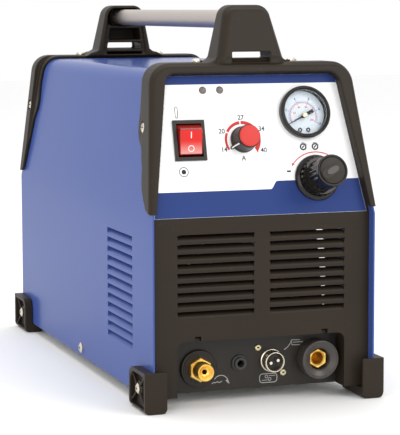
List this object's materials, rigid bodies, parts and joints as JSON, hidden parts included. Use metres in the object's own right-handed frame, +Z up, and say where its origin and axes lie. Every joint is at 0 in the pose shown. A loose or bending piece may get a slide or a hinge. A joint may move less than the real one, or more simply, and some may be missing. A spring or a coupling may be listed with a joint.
{
  "type": "plasma cutter unit",
  "caption": "Portable inverter plasma cutter: blue vented cover, black end bezels with a tubular handle, corner feet, sloping control panel and recessed torch, trigger and work-lead sockets.",
  "frame": {"origin": "centre of the box round the unit, on the floor plane through the feet", "axes": "+X to the right seen from the front, -Y out of the control panel, +Z up"},
  "size_m": [0.194, 0.4387, 0.303],
  "materials": {
    "blue_paint": "gloss powder coat",
    "zinc_steel": "zinc plated",
    "black_plastic": "moulded, fine grain",
    "black_steel": "satin black paint",
    "satin_aluminium": "satin anodised",
    "screw_steel": "nickel plated",
    "label_film": "printed film",
    "red_rocker": "tinted, glossy",
    "knob_plastic": "moulded",
    "red_cap": "satin",
    "gauge_black": "glossy",
    "dial_white": "printed",
    "lens": "clear",
    "led_grey": "smoked",
    "brass_bright": "turned",
    "nickel": "nickel plated",
    "hose_rubber": "smooth",
    "board_green": "circuit board",
    "capacitor_sleeve": "shrink sleeve",
    "winding": "varnished"
  },
  "bodies": {
    "housing": {"cover": "blue_paint", "base_tray": "zinc_steel", "front_panel": "black_plastic", "connector_plate": "black_steel", "rear_panel": "black_steel", "front_bezel": "black_plastic", "rear_bezel": "black_plastic", "handle_bar": "satin_aluminium", "foot_front_left": "black_plastic", "foot_front_right": "black_plastic", "foot_rear_left": "black_plastic", "foot_rear_right": "black_plastic", "foot_screws": "screw_steel", "bezel_screws": "screw_steel", "cover_screws": "screw_steel", "control_label": "label_film", "switch_housing": "black_plastic", "potentiometer": "zinc_steel", "gauge_case": "gauge_black", "gauge_dial": "dial_white", "gauge_lens": "lens", "led_lenses": "led_grey", "regulator_body": "knob_plastic", "regulator_panel_nut": "knob_plastic", "torch_flange": "knob_plastic", "torch_fitting": "brass_bright", "pilot_grommet": "black_plastic", "trigger_socket_shell": "nickel", "trigger_socket_insert": "knob_plastic", "trigger_pins": "nickel", "trigger_socket_screws": "brass_bright", "earth_socket_ring": "knob_plastic", "earth_socket_contact": "brass_bright", "cable_gland": "black_plastic", "air_inlet_fitting": "brass_bright", "solenoid_valve": "brass_bright", "air_hoses": "hose_rubber", "fan_frame": "black_plastic", "fan_guard": "zinc_steel", "fan_screws": "screw_steel", "main_board": "board_green", "heat_sinks": "satin_aluminium", "capacitors": "capacitor_sleeve", "transformer": "winding", "control_board": "board_green"},
    "rocker": {"switch_rocker": "red_rocker"},
    "current_knob": {"knob_body": "knob_plastic", "knob_cap": "red_cap", "pot_shaft": "screw_steel"},
    "needle": {"gauge_needle": "gauge_black"},
    "regulator_spindle": {"regulator_screw": "screw_steel"},
    "regulator_handwheel": {"regulator_knob": "knob_plastic"},
    "fan": {"fan_rotor": "black_plastic"}
  },
  "joints": [
    {"name": "power_switch", "type": "hinge", "parent": "housing", "child": "rocker", "pos_m": [-0.053, -0.17434, 0.20131], "axis": [1, 0, 0], "range_deg": [-32, 0]},
    {"name": "current_knob_turn", "type": "hinge", "parent": "housing", "child": "current_knob", "pos_m": [-0.0102, -0.17539, 0.20128], "axis": [0, 0.9659, -0.2588], "range_deg": [0, 250]},
    {"name": "gauge_needle_turn", "type": "hinge", "parent": "housing", "child": "needle", "pos_m": [0.0415, -0.1724, 0.2186], "axis": [0, 0.9659, -0.2588], "range_deg": [0, 232], "stiffness_Nm_per_rad": 0.001},
    {"name": "regulator_turn", "type": "hinge", "parent": "housing", "child": "regulator_spindle", "pos_m": [0.0468, -0.18349, 0.17105], "axis": [0, 0.9659, -0.2588], "range_deg": [0, 900]},
    {"name": "regulator_pull", "type": "slide", "parent": "regulator_spindle", "child": "regulator_handwheel", "axis": [0, -0.9659, 0.2588], "range_m": [0, 0.0035]},
    {"name": "fan_spin", "type": "hinge", "parent": "housing", "child": "fan", "pos_m": [0, 0.19126, 0.084], "axis": [0, 1, 0], "continuous": true}
  ]
}
